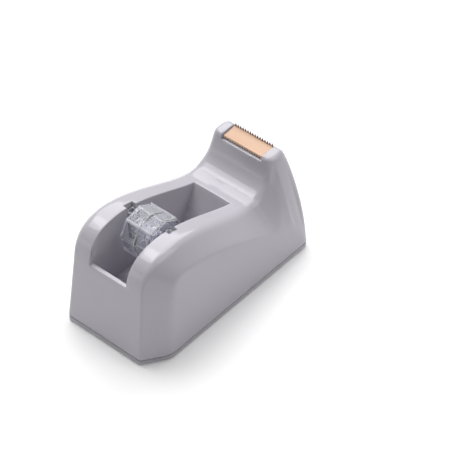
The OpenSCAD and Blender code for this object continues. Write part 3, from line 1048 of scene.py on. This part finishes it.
def finish_hub(piece, name, body, node):
    piece.name = name
    piece.data.name = name
    for _ in range(HUB_GLINT + 1):
        piece.data.materials.append(None)
    soften_edges(piece, HUB_SOFT, HUB_SEGMENTS, HUB_EDGE_ANGLE, HUB_GLINT)
    smooth(piece, HUB_SHARP)
    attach(piece, body)
    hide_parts(node)
    return piece


def make_ribs():
    """Ribs along the drum that grip the tape core."""
    root = HOLLOW_R + DRUM_WALL / 2
    places = ((root, -1), (DRUM_R, -1), (DRUM_R, 1), (root, 1))
    shell = Shell()
    for k in range(RIB_COUNT):
        angle = FACET_TURN + 2 * math.pi * k / RIB_COUNT
        out = point(math.cos(angle), 0, math.sin(angle))
        across = RIB_W / 2 * point(-out[2], 0, out[0])
        corners = [reach * out + side * across for reach, side in places]
        shell.loft([[point(HUB_X, y, HUB_Z) + c for c in corners] for y in (DRUM_START, DRUM_END)])
    return shell.finish("ribs")


def build_drum():
    web = DRUM_WALL / 2
    loops = [hub_circle(y, FLAT_R, DRUM_SIDES) for y in (DRUM_START, DRUM_END)]
    loops += [hub_circle(y, HOLLOW_R, DRUM_SIDES) for y in (DRUM_END, web)]
    loops += [hub_circle(web, TUBE_R), hub_circle(DRUM_END, TUBE_R)]
    loops += [hub_circle(DRUM_END, BORE_R), hub_circle(DRUM_START, BORE_R)]
    loops += [hub_circle(DRUM_START, TUBE_R), hub_circle(-web, TUBE_R)]
    loops += [hub_circle(y, HOLLOW_R, DRUM_SIDES) for y in (-web, DRUM_START)]
    shell = Shell()
    shell.loft(loops, capped=False)
    drum = shell.finish("drum")
    cut(drum, make_ribs(), "UNION")
    return finish_hub(drum, "clear_drum", "drum", "hub_drum")


def build_cap():
    rim = DRUM_START - CAP_T
    plug = DRUM_START + CAP_T
    hole = TUBE_R + RUN_CLEAR
    plug_r = INNER_R - RUN_CLEAR
    loops = [hub_circle(rim, hole)]
    loops += [hub_circle(y, FLAT_R, DRUM_SIDES) for y in (rim, DRUM_START)]
    loops += [hub_circle(DRUM_START, plug_r), hub_circle(plug, plug_r), hub_circle(plug, hole)]
    shell = Shell()
    shell.loft(loops, capped=False)
    return finish_hub(shell.finish("cap"), "clear_drum_cap", "drum", "hub_cap")


def build_axle():
    shell = Shell()
    stub_end = STUB_SHORT - LUG_OUT
    root = LUG_IN + AXLE_ROOT
    loops = [hub_circle(stub_end, STUB_R), hub_circle(-LUG_IN, STUB_R)]
    loops += [hub_circle(-LUG_IN, AXLE_R), hub_circle(LUG_IN - NECK_L, AXLE_R)]
    loops += [hub_circle(LUG_IN - NECK_L, NECK_R), hub_circle(root, NECK_R)]
    shell.loft(loops)
    axle = shell.finish("axle")
    cut(axle, make_lug(1), "UNION")
    return finish_hub(axle, "clear_axle", "spindle", "hub_axle")


def build_axle_end():
    shell = Shell()
    shell.loft([hub_circle(y, STUB_R + STUB_CLEAR) for y in (-LUG_OUT - PAST, -LUG_IN + PAST)])
    lug = make_lug(-1)
    cut(lug, shell.finish("bore"))
    return finish_hub(lug, "clear_axle_end", "spindle", "hub_axle_end")


# Camera, light and floor

LOOK_AT = Vector((0.03985, 0.0052, 0.0))
AZIMUTH = math.radians(-49.3)
ELEVATION = math.radians(43.85)
DISTANCE = 0.9785
FOCAL_PX = 1950
FRAME_PX = 460
SENSOR_W = 36
CLIP_START = 0.01
LIGHT_AT = Vector((0, 0, 0.03))
AMBIENT = 0.22
WHITE = (1, 1, 1, 1)
FLOOR_HALF = 0.5
FLOOR_CELLS = 4
FLOOR_DARK = (0.88, 0.88, 0.885)
FLOOR_LIGHT = (0.9, 0.9, 0.905)
FLOOR_ROUGH = 0.8
FLOOR_GLOW = (0.15, 0.15, 0.15, 1)


def add_camera():
    camera = bpy.data.cameras.new("camera")
    camera.sensor_width = SENSOR_W
    camera.lens = FOCAL_PX / FRAME_PX * SENSOR_W
    camera.clip_start = CLIP_START
    holder = bpy.data.objects.new("camera", camera)
    back = Vector((
        math.sin(AZIMUTH) * math.cos(ELEVATION),
        -math.cos(AZIMUTH) * math.cos(ELEVATION),
        math.sin(ELEVATION),
    ))
    holder.location = LOOK_AT + DISTANCE * back
    holder.rotation_euler = (-back).to_track_quat("-Z", "Y").to_euler()
    bpy.context.scene.collection.objects.link(holder)
    bpy.context.scene.camera = holder


def add_softbox(name, location, size, power):
    lamp = bpy.data.lights.new(name, "AREA")
    lamp.shape = "RECTANGLE"
    lamp.size = size[0]
    lamp.size_y = size[1]
    lamp.energy = power
    holder = bpy.data.objects.new(name, lamp)
    holder.location = location
    aim = LIGHT_AT - Vector(location)
    holder.rotation_euler = aim.to_track_quat("-Z", "Y").to_euler()
    holder.visible_camera = False
    bpy.context.scene.collection.objects.link(holder)


def add_seen(nodes, links):
    """One for rays that show the backdrop, straight or through clear plastic."""
    path = nodes.new("ShaderNodeLightPath")
    either = nodes.new("ShaderNodeMath")
    either.operation = "MAXIMUM"
    links.new(path.outputs["Is Camera Ray"], either.inputs[0])
    links.new(path.outputs["Is Transmission Ray"], either.inputs[1])
    return either.outputs["Value"]


def add_world():
    world = bpy.data.worlds.new("studio")
    bpy.context.scene.world = world
    world.use_nodes = True
    nodes, links = world.node_tree.nodes, world.node_tree.links
    ambient = nodes["Background"]
    ambient.inputs["Color"].default_value = WHITE
    ambient.inputs["Strength"].default_value = AMBIENT
    white = nodes.new("ShaderNodeBackground")
    white.inputs["Color"].default_value = WHITE
    white.inputs["Strength"].default_value = 1
    mix = nodes.new("ShaderNodeMixShader")
    links.new(add_seen(nodes, links), mix.inputs["Fac"])
    links.new(ambient.outputs["Background"], mix.inputs[1])
    links.new(white.outputs["Background"], mix.inputs[2])
    links.new(mix.outputs["Shader"], nodes["World Output"].inputs["Surface"])


def floor_material():
    material, nodes, links, shader = new_material("floor_white")
    grain = add_noise(nodes, links, scale=12, detail=2)
    colour = shade(nodes, links, grain, FLOOR_DARK, FLOOR_LIGHT)
    links.new(colour, shader.inputs["Base Color"])
    shader.inputs["Roughness"].default_value = FLOOR_ROUGH
    shader.inputs["Emission Color"].default_value = FLOOR_GLOW
    path = nodes.new("ShaderNodeLightPath")
    links.new(path.outputs["Is Camera Ray"], shader.inputs["Emission Strength"])
    return material


def add_floor():
    grid = bmesh.new()
    bmesh.ops.create_grid(grid, x_segments=FLOOR_CELLS, y_segments=FLOOR_CELLS, size=FLOOR_HALF)
    mesh = bpy.data.meshes.new("floor")
    grid.to_mesh(mesh)
    grid.free()
    floor = bpy.data.objects.new("floor", mesh)
    bpy.context.scene.collection.objects.link(floor)
    floor.data.materials.append(floor_material())


def add_lights():
    add_softbox("key", location=(0.55, 0.4, 1.1), size=(1.4, 1.4), power=17.8)
    add_softbox("top", location=(-0.05, 0.45, 1.05), size=(0.6, 0.6), power=3.9)
    add_softbox("right_fill", location=(0.4, -0.95, 0.8), size=(0.8, 0.8), power=2.5)
    add_softbox("rear_fill", location=(-0.95, 0.7, 0.18), size=(1.0, 0.36), power=1.2)


# Materials

CLEAR_IOR = 1.25
NOISE_LOW = 0.3
NOISE_HIGH = 0.7


def new_material(name):
    material = bpy.data.materials.new(name)
    material.use_nodes = True
    nodes = material.node_tree.nodes
    return material, nodes, material.node_tree.links, nodes["Principled BSDF"]


def add_noise(nodes, links, scale, detail, stretch=(1, 1, 1)):
    coordinates = nodes.new("ShaderNodeTexCoord")
    mapping = nodes.new("ShaderNodeMapping")
    mapping.inputs["Scale"].default_value = stretch
    noise = nodes.new("ShaderNodeTexNoise")
    noise.inputs["Scale"].default_value = scale
    noise.inputs["Detail"].default_value = detail
    links.new(coordinates.outputs["Object"], mapping.inputs["Vector"])
    links.new(mapping.outputs["Vector"], noise.inputs["Vector"])
    return noise.outputs["Fac"]


def spread(nodes, links, value, low, high):
    """Turns a value around one half into one between low and high."""
    ranged = nodes.new("ShaderNodeMapRange")
    ranged.inputs["From Min"].default_value = NOISE_LOW
    ranged.inputs["From Max"].default_value = NOISE_HIGH
    ranged.inputs["To Min"].default_value = low
    ranged.inputs["To Max"].default_value = high
    links.new(value, ranged.inputs["Value"])
    return ranged.outputs["Result"]


def tint(colour, share):
    return tuple(share * c for c in colour)


def shade(nodes, links, value, dark, light):
    """Colour between two shades, led by a value."""
    mix = nodes.new("ShaderNodeMix")
    mix.data_type = "RGBA"
    mix.inputs["A"].default_value = (*dark, 1)
    mix.inputs["B"].default_value = (*light, 1)
    links.new(value, mix.inputs["Factor"])
    return mix.outputs["Result"]


def add_bump(nodes, links, shader, height, strength, distance):
    bump = nodes.new("ShaderNodeBump")
    bump.inputs["Strength"].default_value = strength
    bump.inputs["Distance"].default_value = distance
    links.new(height, bump.inputs["Height"])
    links.new(bump.outputs["Normal"], shader.inputs["Normal"])


def plastic(name, colour, rough):
    """Moulded plastic: faint flow marks, uneven gloss and a fine skin."""
    material, nodes, links, shader = new_material(name)
    flow = add_noise(nodes, links, scale=35, detail=3)
    tone = shade(nodes, links, flow, tint(colour, 0.97), tint(colour, 1.03))
    links.new(tone, shader.inputs["Base Color"])
    gloss = add_noise(nodes, links, scale=220, detail=5)
    links.new(spread(nodes, links, gloss, 0.8 * rough, 1.2 * rough), shader.inputs["Roughness"])
    skin = add_noise(nodes, links, scale=1800, detail=2)
    add_bump(nodes, links, shader, skin, strength=0.03, distance=0.0002)
    return material


def clear_plastic(name, colour, transmission, rough):
    material, nodes, links, shader = new_material(name)
    shader.inputs["Base Color"].default_value = (*colour, 1)
    shader.inputs["Transmission Weight"].default_value = transmission
    shader.inputs["IOR"].default_value = CLEAR_IOR
    gloss = add_noise(nodes, links, scale=400, detail=3)
    links.new(spread(nodes, links, gloss, 0.5 * rough, 1.5 * rough), shader.inputs["Roughness"])
    return material


def metal(name, colour, rough, stretch, metallic=1):
    """Rolled metal sheet with a fine directional grain."""
    material, nodes, links, shader = new_material(name)
    grain = add_noise(nodes, links, scale=300, detail=4, stretch=stretch)
    links.new(shade(nodes, links, grain, tint(colour, 0.93), colour), shader.inputs["Base Color"])
    shader.inputs["Metallic"].default_value = metallic
    links.new(spread(nodes, links, grain, 0.8 * rough, 1.25 * rough), shader.inputs["Roughness"])
    add_bump(nodes, links, shader, grain, strength=0.05, distance=0.0001)
    return material


def rough_cast(name, colour, rough, scale, depth):
    """Matte surface with a grain: cast iron or rubber."""
    material, nodes, links, shader = new_material(name)
    grain = add_noise(nodes, links, scale, detail=6)
    tone = shade(nodes, links, grain, tint(colour, 0.7), tint(colour, 1.3))
    links.new(tone, shader.inputs["Base Color"])
    links.new(spread(nodes, links, grain, 0.9 * rough, rough), shader.inputs["Roughness"])
    add_bump(nodes, links, shader, grain, strength=0.4, distance=depth)
    return material


def dress(piece, *materials):
    slots = piece.data.materials
    for k, material in enumerate(materials):
        if k < len(slots):
            slots[k] = material
        else:
            slots.append(material)


def main():
    bpy.context.scene.view_settings.view_transform = "Standard"
    add_camera()
    add_world()
    add_lights()
    add_floor()
    grey = plastic("grey_gloss_plastic", (0.503, 0.484, 0.532), rough=0.11)
    clear = clear_plastic("clear_styrene", (0.95, 0.955, 1), transmission=0.95, rough=0.03)
    # Less clear copy of the clear plastic for the hub's bevelled edges: painted highlights
    clear_glint = clear_plastic("clear_styrene_painted_glint", (0.95, 0.95, 1), transmission=0.6, rough=0.12)
    rubber = rough_cast("black_rubber", (0.03, 0.03, 0.032), rough=0.85, scale=900, depth=0.0002)
    dress(build_body(), grey)
    dress(build_base(), plastic("grey_satin_plastic", (0.45, 0.435, 0.47), rough=0.32))
    for foot in build_feet():
        dress(foot, rubber)
    along = (1, 0.15, 1)
    upright = (1, 1, 0.2)
    copper = metal("copper_plated_sheet", (0.5, 0.33, 0.23), 0.38, along, metallic=0.3)
    # Dark copy of the copper for the front teeth: painted shade
    shaded_teeth = metal("painted_shade_front_teeth", (0.2, 0.14, 0.12), 0.35, upright)
    # Light copy of the copper for the rear teeth and the rear bend: painted light
    lit_teeth = metal("painted_light_rear_teeth", (0.95, 0.66, 0.48), 0.4, upright, metallic=0.3)
    dress(build_cutter(), copper, shaded_teeth, lit_teeth)
    for piece in (build_drum(), build_cap(), build_axle(), build_axle_end()):
        dress(piece, clear, clear_glint)
    nodes = frame["nodes"]
    zinc = metal("zinc_plated_steel", (0.6, 0.6, 0.62), 0.3, upright)
    dress(nodes["base_screws"], zinc)
    iron = rough_cast("cast_iron", (0.08, 0.08, 0.085), rough=0.8, scale=500, depth=0.0005)
    dress(nodes["ballast_block"], iron)


main()
